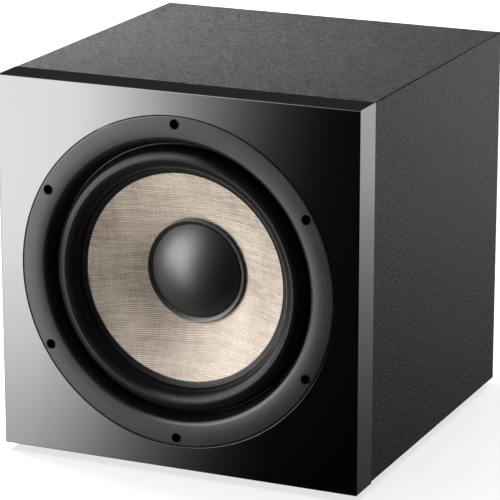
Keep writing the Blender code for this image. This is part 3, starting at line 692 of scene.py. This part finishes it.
def make_grille_sockets():
    """Rubber cups with a rounded rim and a small dimple on the floor."""
    for i, centre in enumerate(SOCKETS):
        node = f"grille_socket_{i + 1}"
        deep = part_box(node)[1].y - FRONT
        outline = fillet([
            (0.0, 0.0062), (0.0009, 0.0062), (0.0010, 0.0058), (0.0040, 0.0058, 0.0006),
            (0.0041, 0.0006, 0.0003), (0.0043, 0.0001, 0.0002), (SOCKET_R, 0.0001, 0.0002),
            (SOCKET_R, deep), (0.0, deep),
        ])
        cup = lathe(f"socket_cup_{i + 1}", outline, SOCKET_BLACK, centre, STEPS_SMALL)
        settle_in(cup, "cabinet", "rubber", node)


def roll_points(inner_side, outer_side):
    """The roll's front and back lines between two angles, 0 at the outer foot and 180 at the inner foot."""
    height = ROLL_FOOT - ROLL_CREST
    front, back = [], []
    count = 28
    for i in range(count + 1):
        t = math.radians(outer_side + (inner_side - outer_side) * i / count)
        across, lift = math.cos(t), height * math.sin(t)
        front.append((CREST_R + HALF_ROLL * across, ROLL_FOOT - lift))
        back.append((CREST_R + (HALF_ROLL - RUBBER_SHEET) * across, ROLL_FOOT + RUBBER_SHEET - lift))
    return front, back


def make_surround():
    """Rubber roll in two halves that meet at the crest: the outer rides on the cabinet, and the inner is
    built in place on no body.
    """
    clamped_r = 0.1514
    crease = 50
    front, back = roll_points(90, 0)
    outer = [(clamped_r, ROLL_FOOT)] + front + back[::-1] + [(clamped_r, ROLL_FOOT + RUBBER_SHEET)]
    half = lathe("surround_outer", outer, FINISH["rubber"], steps=STEPS_RING, crease=crease)
    settle_in(half, "cabinet", "rubber", "surround")
    front, back = roll_points(180, 90)
    foot = CREST_R - HALF_ROLL
    lip = CONE_EDGE_R + 0.0006
    inner = front[:-1] + fillet([
        (foot, ROLL_FOOT - 0.0001), (foot - 0.0003, ROLL_FOOT - 0.0014, 0.0002),
        (lip + 0.0002, ROLL_FOOT - 0.0001, 0.0002), (lip, ROLL_FOOT + 0.0002),
        (lip, ROLL_FOOT + 0.0006), (foot, ROLL_FOOT + 0.0014),
    ], closed=False) + back[::-1]
    half = lathe("surround_inner", inner, FINISH["rubber"], steps=STEPS_RING, crease=crease)
    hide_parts("surround")
    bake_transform(half)


def make_cone():
    """Woven cone: a straight wall, a flat rim under the surround and a short neck."""
    neck = 0.0330
    rim = 0.1134
    skin = 0.0016
    steps = 12
    front = [(rim, ROLL_FOOT + 0.0018), (CONE_EDGE_R + 0.0008, ROLL_FOOT + 0.0014)]
    back = []
    for i in range(steps + 1):
        radius = CONE_EDGE_R + (neck - CONE_EDGE_R) * i / steps
        front.append((radius, cone_depth(radius)))
        back.append((radius, cone_depth(radius) + skin))
    wide_neck = neck + 0.0025
    ends = [(neck, cone_depth(neck) + 0.0022), (wide_neck, cone_depth(wide_neck) + skin + 0.0012)]
    outline = front + ends + back[-2::-1] + [(rim, ROLL_FOOT + 0.0034)]
    cone = lathe("cone_weave", outline, FINISH["flax"], crease=40)
    settle_in(cone, "cone_assembly", "flax", "cone")


def make_dust_cap():
    """Collar glued to the cone and the satin dome inside it."""
    cap_r = 0.0484
    collar_r = (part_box("dust_cap_collar")[1].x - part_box("dust_cap_collar")[0].x) / 2
    inner = cap_r + 0.0006
    foot = cone_depth(collar_r) - 0.0003
    collar = lathe("collar_ring", fillet([
        (collar_r, foot), (collar_r - 0.0003, foot - 0.0040, 0.0003),
        (collar_r - 0.0008, foot - 0.0042, 0.0002), (inner, foot - 0.0014, 0.0002),
        (inner, cone_depth(inner) - 0.0003),
    ]), FINISH["black_plastic"])
    settle_in(collar, "cone_assembly", "black_plastic", "dust_cap_collar")
    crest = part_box("dust_cap")[0].y - FRONT + 0.0010
    cap_foot = 0.0490
    skirt = cap_foot + 0.0022
    skin = 0.0012
    rise = cap_foot - crest
    ball = (cap_r ** 2 + rise ** 2) / (2 * rise)
    spread = math.asin(cap_r / ball)
    steps = 40
    dome, hollow = [(0.0, crest)], [(0.0, crest + skin)]
    for i in range(1, steps + 1):
        t = spread * i / steps
        dome.append((ball * math.sin(t), crest + ball * (1 - math.cos(t))))
        hollow.append(((ball - skin) * math.sin(t), crest + skin + (ball - skin) * (1 - math.cos(t))))
    foot_ring = [(cap_r, skirt), (hollow[-1][0], skirt)]
    cap = lathe("cap_dome", dome + foot_ring + hollow[::-1], FINISH["cap"], crease=40)
    settle_in(cap, "cone_assembly", "cap", "dust_cap")


# -------------------- amplifier
PLATE = REAR - FRONT                       # depth of the plate's outer face
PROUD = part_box("level_knob")[1].y - REAR   # how far the knobs stand out
SEAT = PLATE + 0.0003                      # where flanges and screw heads sit on the plate
KNOB_FOOT = PLATE + 0.0010
KNOB_TOP = PLATE + PROUD
GRIP_LOW = KNOB_FOOT + 0.0036
GRIP_HIGH = KNOB_TOP - 0.0012
KNOB_TURN = 140                            # degrees either way


def make_plate():
    soften("amp_plate", 0.0004)
    soften("heat_sink", 0.0003)
    soften("amp_chassis", 0.0003)
    soften("circuit_board", 0.0001, 1)


def make_amp_screws():
    """Pan heads with a hexagon socket."""
    for i in range(6):
        node = f"amp_screw_{i + 1}"
        centre = centre_of(node)
        low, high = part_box(node)
        tip = low.y - FRONT
        top = high.y - FRONT
        screw = lathe(node + "_head", fillet([
            (0.0, top), (0.0028, top, 0.0006), (0.0038, SEAT + 0.0006, 0.0004), (0.0038, SEAT, 0.0002),
            (0.0015, SEAT), (0.0015, tip + 0.001), (0.0, tip),
        ]), FINISH["zinc"], centre, STEPS_SMALL)
        key_r, key_floor, key_end = 0.0013, top - 0.0013, top + 0.01
        hexagon = lathe(
            f"hex_{i}", [(0.0, key_floor), (key_r, key_floor), (key_r, key_end), (0.0, key_end)],
            centre=centre, steps=6, twist=0.3,
        )
        carve(screw, hexagon)
        settle_in(screw, "cabinet", "zinc", node)


def flutes(radius, depth, angle):
    """Change of radius of a knob's grip: 18 shallow flutes."""
    if radius < 0.0060 or depth < GRIP_LOW or depth > GRIP_HIGH:
        return 0.0
    return -0.00038 * (0.5 + 0.5 * math.cos(18 * angle)) ** 2


def make_ticks(node, x, z):
    """Eleven printed ticks round a knob, the two ends and the middle one longer."""
    marks = []
    count = 11
    inner = 0.0108
    for k in range(count):
        angle = math.radians(-KNOB_TURN + 2 * KNOB_TURN * k / (count - 1))
        major = k in (0, count // 2, count - 1)
        long = 0.0020 if major else 0.0013
        wide = 0.0003 if major else 0.0002
        mark = slab(
            f"tick_{k}", (-wide, FRONT + PLATE - 0.0001, inner),
            (wide, FRONT + PLATE + 0.00006, inner + long), INK,
        )
        mark.data.transform(Matrix.Translation((x, 0.0, z)) @ Matrix.Rotation(angle, 4, "Y"))
        marks.append(mark)
    return joined(node + "_ticks", marks)


def make_knobs():
    """Fluted knobs with a flared skirt and a printed pointer, over a ring of printed ticks."""
    for node, body in (
        ("level_knob", "level_control"), ("crossover_knob", "crossover_control"),
        ("phase_knob", "phase_control"),
    ):
        x, z = centre_of(node)
        outline = fillet([
            (0.0, PLATE - 0.0120), (0.0030, PLATE - 0.0120), (0.0030, KNOB_FOOT), (0.0092, KNOB_FOOT, 0.0003),
            (0.0092, KNOB_FOOT + 0.0018, 0.0005), (0.0076, KNOB_FOOT + 0.0032, 0.0008), (0.00745, GRIP_LOW),
            (0.0069, GRIP_HIGH), (0.0067, KNOB_TOP, 0.0009), (0.0050, KNOB_TOP, 0.0004),
            (0.0046, KNOB_TOP - 0.0004, 0.0003), (0.0, KNOB_TOP - 0.0003),
        ], steps=5)
        knob = lathe(node + "_grip", outline, FINISH["black_plastic"], (x, z), 144, ripple=flutes)
        settle_in(knob, body, "black_plastic", node)
        pointer = slab(
            node + "_pointer", (x - 0.00045, FRONT + KNOB_TOP - 0.0006, z + 0.0016),
            (x + 0.00045, FRONT + KNOB_TOP - 0.00005, z + 0.0064), INK, 0.0001, 2,
        )
        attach(pointer, body)
        ticks = make_ticks(node, x, z)
        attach(ticks, "cabinet")


def make_jacks():
    """Signal jacks: a plated barrel on a round flange, with a coloured collar and insulator."""
    for i, colour in ((1, PALE), (2, RED)):
        node = f"rca_jack_{i}"
        centre = centre_of(node)
        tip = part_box(node)[1].y - FRONT
        barrel = lathe(f"jack_barrel_{i}", fillet([
            (0.0034, PLATE - 0.0060), (0.0041, PLATE - 0.0060), (0.0041, SEAT), (0.0066, SEAT, 0.0002),
            (0.0066, PLATE + 0.0018, 0.0003), (0.0046, PLATE + 0.0026, 0.0002), (0.0042, PLATE + 0.0030),
            (0.0042, tip - 0.0006, 0.0003), (0.0040, tip, 0.0002), (0.0034, tip, 0.0002),
        ]), FINISH["zinc"], centre, STEPS_SMALL, crease=25)
        settle_in(barrel, "cabinet", "zinc", node)
        core = lathe(f"jack_core_{i}", fillet([
            (0.0, PLATE - 0.0058), (0.0034, PLATE - 0.0058), (0.0034, tip - 0.0009, 0.0002),
            (0.0018, tip - 0.0009, 0.0002), (0.0015, PLATE + 0.0020), (0.0, PLATE + 0.0018),
        ]), colour, centre, STEPS_SMALL)
        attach(core, "cabinet")
        collar = lathe(f"jack_colour_{i}", fillet([
            (0.0043, PLATE + 0.0027), (0.0058, PLATE + 0.0023, 0.0002), (0.0058, PLATE + 0.0034, 0.0003),
            (0.0043, PLATE + 0.0036, 0.0002),
        ]), colour, centre, STEPS_SMALL)
        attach(collar, "cabinet")


def hexagon_nut(radius, _, angle):
    """Change of radius that gives the wide part of a turned piece six flats."""
    if radius < 0.0050:
        return 0.0
    flat = (angle % (math.pi / 3)) - math.pi / 6
    return radius * (math.cos(math.pi / 6) / math.cos(flat) - 1.0)


def make_switches():
    """Rocker in its bezel, a toggle in a threaded bush with a hexagon nut, and the status lens."""
    soften("rocker_frame", 0.0004, 3)
    soften("power_rocker", 0.0004, 3)
    centre = centre_of("toggle_bush")
    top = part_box("toggle_bush")[1].y - FRONT
    bush = lathe("bush_nut", fillet([
        (0.0022, PLATE - 0.0080), (0.0030, PLATE - 0.0080), (0.0030, SEAT), (0.0055, SEAT, 0.0002),
        (0.0055, PLATE + 0.0022, 0.0002), (0.0036, PLATE + 0.0024), (0.0034, PLATE + 0.0028, 0.0002),
        (0.0031, PLATE + 0.0031, 0.0001), (0.0034, PLATE + 0.0034, 0.0001), (0.0031, PLATE + 0.0037, 0.0001),
        (0.0034, PLATE + 0.0040, 0.0001), (0.0032, top, 0.0002), (0.0028, top, 0.0002),
        (0.0022, PLATE + 0.0020),
    ], steps=3), FINISH["zinc"], centre, 96, ripple=hexagon_nut, crease=25)
    settle_in(bush, "cabinet", "zinc", "toggle_bush")
    low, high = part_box("auto_toggle")
    tip = high.y - FRONT
    foot = low.y - FRONT
    lever = lathe("toggle_bat", fillet([
        (0.0, foot), (0.0010, foot), (0.0011, PLATE + 0.0040, 0.002), (0.0016, tip - 0.0016, 0.0014),
        (0.0012, tip, 0.0010), (0.0, tip),
    ], steps=8), FINISH["zinc"], centre, 32)
    settle_in(lever, "auto_switch", "zinc", "auto_toggle")
    low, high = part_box("status_lens")
    inside, outside = low.y - FRONT, high.y - FRONT
    lens = lathe("lens_dome", fillet([
        (0.0, inside), (0.0015, inside), (0.0015, SEAT), (0.0026, SEAT),
        (0.0025, PLATE + 0.0011, 0.0003), (0.0015, outside, 0.0012), (0.0, outside),
    ], steps=6), FINISH["lens"], centre_of("status_lens"), 32)
    settle_in(lens, "cabinet", "lens", "status_lens")


def prism(name, outline, near, far):
    """A solid between two depths along Y with an (x, z) outline."""
    bm = bmesh.new()
    front = [bm.verts.new((x, near, z)) for x, z in outline]
    back = [bm.verts.new((x, far, z)) for x, z in outline]
    bm.faces.new(front)
    bm.faces.new(back)
    for i in range(len(outline)):
        n = (i + 1) % len(outline)
        bm.faces.new((front[i], front[n], back[n], back[i]))
    return object_from(name, bm)


def make_inlet():
    """Mains inlet: a shell with a chamfered well, three metal blades and a fuse drawer above."""
    low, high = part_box("mains_inlet")
    x, z = centre_of("mains_inlet")
    past = 0.01
    shell = slab(
        "inlet_shell", (x - 0.0140, low.y, z - 0.0190), (x + 0.0140, REAR + 0.0010, z + 0.0190),
        FINISH["black_plastic"], 0.0005,
    )
    flange = slab("flange", (low.x, REAR + 0.0003, low.z), (high.x, high.y, high.z), None, 0.0007)
    carve(shell, flange, how="UNION")
    well_low = z - 0.0151
    well_high = z + 0.0011
    half = 0.0120
    corner = 0.0040
    well = prism("well", [
        (x - half, well_high), (x + half, well_high), (x + half, well_low + corner),
        (x + (half - corner), well_low), (x + (-half + corner), well_low), (x - half, well_low + corner),
    ], FRONT + PLATE - 0.0160, FRONT + PLATE + past)
    wide = 0.0108
    slot = slab("drawer_hole", (x - wide, REAR - 0.0200, z + 0.0067), (x + wide, REAR + past, z + 0.0163))
    carve(shell, well, slot)
    weighted(shell)
    settle_in(shell, "cabinet", "black_plastic", "mains_inlet")
    blades = []
    thick, tall = 0.0010, 0.0020
    for i, (dx, dz) in enumerate(((-0.0070, -0.0090), (0.0, -0.0050), (0.0070, -0.0090))):
        blades.append(slab(
            f"blade_{i}", (x + dx - thick, REAR - 0.0170, z + dz - tall),
            (x + dx + thick, REAR - 0.0040, z + dz + tall), NICKEL, 0.0004, 2,
        ))
    pins = joined("inlet_blades", blades)
    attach(pins, "cabinet")
    low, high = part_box("fuse_drawer")
    drawer = slab("drawer_front", low, high, FINISH["black_plastic"], 0.0005)
    face = high.y - FRONT
    notch_r = 0.0034
    notch = lathe("notch", [
        (0.0, face - 0.0022), (notch_r, face - 0.0012), (notch_r, face + past), (0.0, face + past),
    ], centre=((low.x + high.x) / 2, low.z), steps=32, twist=0.07)
    carve(drawer, notch)
    weighted(drawer)
    settle_in(drawer, "fuse_carrier", "black_plastic", "fuse_drawer")


# -------------------- stage
CARD_RADIUS = 2.0
UNSEEN = ("visible_camera", "visible_diffuse", "visible_shadow", "visible_transmission")


def emitter(name, brightness):
    """A material that only shines; brightness is a function that adds its nodes to a tree."""
    material = bpy.data.materials.new(name)
    material.use_nodes = True
    tree = material.node_tree
    tree.nodes.clear()
    shine = tree.nodes.new("ShaderNodeEmission")
    output = tree.nodes.new("ShaderNodeOutputMaterial")
    tree.links.new(shine.outputs[0], output.inputs[0])
    tree.links.new(brightness(tree), shine.inputs["Strength"])
    return material


def chain(tree, operation, *values):
    """A Math node on numbers or other nodes' outputs."""
    made = tree.nodes.new("ShaderNodeMath")
    made.operation = operation
    for socket, value in zip(made.inputs, values):
        feed(tree, socket, value)
    return made.outputs[0]


def product(tree, first, *others):
    for other in others:
        first = chain(tree, "MULTIPLY", first, other)
    return first


def axes_of(tree):
    """Object coordinates x, y and z."""
    place = tree.nodes.new("ShaderNodeTexCoord")
    axes = tree.nodes.new("ShaderNodeSeparateXYZ")
    tree.links.new(place.outputs["Object"], axes.inputs[0])
    return axes.outputs


def turn_of(tree, x, y):
    """Degrees round the object, from -Y towards -X."""
    angle = chain(tree, "ARCTAN2", chain(tree, "MULTIPLY", x, -1.0), chain(tree, "MULTIPLY", y, -1.0))
    return chain(tree, "MULTIPLY", angle, 180.0 / math.pi)


def curve_of(tree, factor, low, high, stops):
    """A smooth curve of a factor between low and high: stops are (factor, value)."""
    spread = tree.nodes.new("ShaderNodeMapRange")
    spread.inputs["From Min"].default_value = low
    spread.inputs["From Max"].default_value = high
    tree.links.new(factor, spread.inputs["Value"])
    band = tree.nodes.new("ShaderNodeFloatCurve")
    tree.links.new(spread.outputs["Result"], band.inputs["Value"])
    peak = max(v for _, v in stops)
    curve = band.mapping.curves[0]
    while len(curve.points) < len(stops):
        curve.points.new(0.5, 0.5)
    for point, (place, value) in zip(curve.points, stops):
        point.location = ((place - low) / (high - low), value / peak)
        point.handle_type = "AUTO_CLAMPED"
    band.mapping.update()
    return chain(tree, "MULTIPLY", band.outputs["Value"], peak)


def step_between(tree, factor, start, end):
    """0 before start, 1 past end, smooth between; end may lie below start."""
    made = tree.nodes.new("ShaderNodeMapRange")
    made.interpolation_type = "SMOOTHSTEP"
    made.inputs["From Min"].default_value = start
    made.inputs["From Max"].default_value = end
    tree.links.new(factor, made.inputs["Value"])
    return made.outputs["Result"]


def left_glow(tree):
    """Brightness of the large reflector at front left: it fades towards the middle and downwards."""
    x, y, z = axes_of(tree)
    turn = turn_of(tree, x, y)
    drop = chain(tree, "MAXIMUM", chain(tree, "SUBTRACT", -0.05, z), 0.0)
    shifted = chain(tree, "SUBTRACT", turn, chain(tree, "MULTIPLY", drop, 5.3))
    shifted = chain(tree, "ADD", shifted, chain(tree, "MULTIPLY", step_between(tree, z, 0.05, 0.8), 6.0))
    across = curve_of(tree, shifted, 0.0, 100.0, [
        (0.0, 0.0), (15.3, 0.003), (17.2, 0.0137), (19.0, 0.048), (20.9, 0.127), (22.8, 0.258),
        (24.6, 0.45), (26.5, 0.63), (28.4, 0.74), (31.0, 0.76), (42.0, 0.70), (62.0, 0.60), (80.0, 0.46),
        (95.0, 0.0), (100.0, 0.0),
    ])
    upward = curve_of(tree, z, -1.2, 3.2, [
        (-1.2, 0.1), (-0.63, 0.48), (-0.35, 0.85), (-0.15, 1.0), (0.7, 1.0), (1.5, 0.6), (2.4, 0.3),
        (3.2, 0.1),
    ])
    sideways = step_between(tree, turn, 33.0, 46.0)
    lower = step_between(tree, z, 0.45, -0.25)
    dim = chain(tree, "SUBTRACT", 1.0, product(tree, sideways, lower, 0.85))
    return product(tree, across, upward, dim, 23.0)


def right_glow(tree):
    """Brightness of the reflector behind right: dim low down, brightest at the object's height."""
    z = axes_of(tree)[2]
    return curve_of(tree, z, -1.2, 1.4, [
        (-1.2, 0.02), (-0.71, 0.24), (-0.52, 0.55), (-0.33, 1.22), (-0.15, 2.15), (0.3, 2.9), (1.4, 1.8),
    ])


def rear_glow(tree):
    """Brightness of the reflector behind left: bright above, dark low down to keep the gloss edge dark."""
    x, y, z = axes_of(tree)
    across = curve_of(tree, turn_of(tree, x, y), 120.0, 185.0, [
        (120.0, 1.3), (145.0, 1.0), (158.0, 0.55), (170.0, 0.20), (185.0, 0.05),
    ])
    upward = curve_of(tree, z, 0.3, 2.6, [(0.3, 0.0), (1.10, 0.0), (1.35, 0.6), (1.8, 1.05), (2.6, 1.1)])
    return chain(tree, "ADD", chain(tree, "MULTIPLY", across, upward), 0.055)


def under_glow(tree):
    """Brightness of the reflector below, which stands in for the pale floor in satin faces that look down."""
    x = axes_of(tree)[0]
    return curve_of(tree, x, -2.0, 2.0, [(-2.0, 0.7), (-1.0, 0.5), (0.0, 0.2), (0.6, 0.04)])


def card(name, first, last, low, high, brightness):
    """An upright curved reflector that only gloss mirrors; first and last as in turn_of."""
    bm = bmesh.new()
    count = 40
    below, above = [], []
    for i in range(count + 1):
        t = math.radians(first + (last - first) * i / count)
        x, y = -CARD_RADIUS * math.sin(t), -CARD_RADIUS * math.cos(t)
        below.append(bm.verts.new((x, y, low)))
        above.append(bm.verts.new((x, y, high)))
    for i in range(count):
        bm.faces.new((below[i], below[i + 1], above[i + 1], above[i]))
    made = object_from(name, bm, emitter(name + "_light", brightness))
    for setting in UNSEEN:
        setattr(made, setting, False)


def area(name, place, target, width, height, power, glossy=False):
    lamp = bpy.data.lights.new(name, "AREA")
    lamp.shape = "RECTANGLE"
    lamp.size, lamp.size_y = width, height
    lamp.energy = power
    made = bpy.data.objects.new(name, lamp)
    made.location = place
    made.rotation_euler = (Vector(target) - Vector(place)).to_track_quat("-Z", "Y").to_euler()
    made.visible_glossy = glossy
    made.visible_camera = False
    bpy.context.scene.collection.objects.link(made)


def make_floor():
    """Pale floor: it takes shadows, and neither lights the object nor shows in its gloss."""
    bm = bmesh.new()
    reach = 14.0
    corners = [bm.verts.new((a * reach, b * reach, 0.0)) for a, b in ((-1, -1), (1, -1), (1, 1), (-1, 1))]
    bm.faces.new(corners)
    f = Finish("pale_floor", roughness=0.9, Specular_IOR_Level=0.0, Emission_Strength=0.72)
    f.set("Base Color", f.mix(f.noise(3.0), (0.30, 0.30, 0.30), (0.32, 0.32, 0.32)))
    f.set("Emission Color", (1.0, 1.0, 1.0))
    floor = object_from("floor", bm, f.material)
    floor.visible_glossy = False
    floor.visible_diffuse = False


def make_reflectors():
    card("left_reflector", 0.0, 97.0, -1.2, 3.2, left_glow)
    card("right_reflector", 190.0, 232.0, -1.2, 1.4, right_glow)
    card("rear_reflector", 128.0, 182.0, 0.3, 2.6, rear_glow)
    bm = bmesh.new()
    bmesh.ops.create_circle(bm, cap_ends=True, segments=64, radius=1.95)
    under = object_from("under_reflector", bm, emitter("under_reflector_light", under_glow))
    under.location.z = -0.98
    for setting in UNSEEN:
        setattr(under, setting, False)


def make_lights():
    area("key", (-2.4, -2.0, 0.45), (AXIS_X, 0.0, AXIS_Z), 1.2, 1.0, 54)
    area("right_fill", (2.4, 0.6, 1.3), (AXIS_X, 0.0, AXIS_Z), 1.6, 1.2, 1)
    area("top_left", (-0.45, 0.05, 0.78), (-0.1, 0.0, 0.4), 0.4, 0.5, 23)
    area("behind", (-0.7, 2.4, 0.32), (0.0, 0.2, 0.2), 0.9, 0.5, 30, glossy=True)
    area("bounce", (-0.45, -0.46, 0.02), (-0.45, -0.40, 1.0), 0.6, 0.4, 5.5)
    sun = bpy.data.lights.new("overhead", "SUN")
    sun.energy = 2.1
    sun.angle = math.radians(50)
    overhead = bpy.data.objects.new("overhead", sun)
    overhead.visible_glossy = False
    bpy.context.scene.collection.objects.link(overhead)


def make_world():
    """A near-white backdrop for the camera, and a faint warm fill for every other ray but gloss."""
    world = bpy.data.worlds.new("studio")
    bpy.context.scene.world = world
    world.use_nodes = True
    tree = world.node_tree
    rays = tree.nodes.new("ShaderNodeLightPath")
    shade = tree.nodes.new("ShaderNodeMix")
    shade.data_type = "RGBA"
    feed(tree, shade.inputs[0], rays.outputs["Is Camera Ray"])
    feed(tree, shade.inputs[6], (0.15, 0.14, 0.13))
    feed(tree, shade.inputs[7], (1.05, 1.05, 1.05))
    feed(tree, tree.nodes["Background"].inputs["Color"], shade.outputs[2])
    world.cycles_visibility.glossy = False


def make_camera():
    """A long lens from the front right, looking down on the object."""
    data = bpy.data.cameras.new("camera")
    data.sensor_width = 36.0
    data.lens = 215.6
    data.clip_end = 60.0
    camera = bpy.data.objects.new("camera", data)
    camera.location = (1.2288, -2.7746, 1.0572)
    dip, turn = 16.065, 24.083
    camera.rotation_euler = (math.radians(90 - dip), 0.0, math.radians(turn))
    bpy.context.scene.collection.objects.link(camera)
    bpy.context.scene.camera = camera


make_baffle()
make_walls()
make_feet()
make_trim_ring()
make_grille_sockets()
make_surround()
make_cone()
make_dust_cap()
make_plate()
make_amp_screws()
make_knobs()
make_jacks()
make_switches()
make_inlet()
make_floor()
make_reflectors()
make_lights()
make_world()
make_camera()
bpy.context.scene.view_settings.view_transform = "Standard"
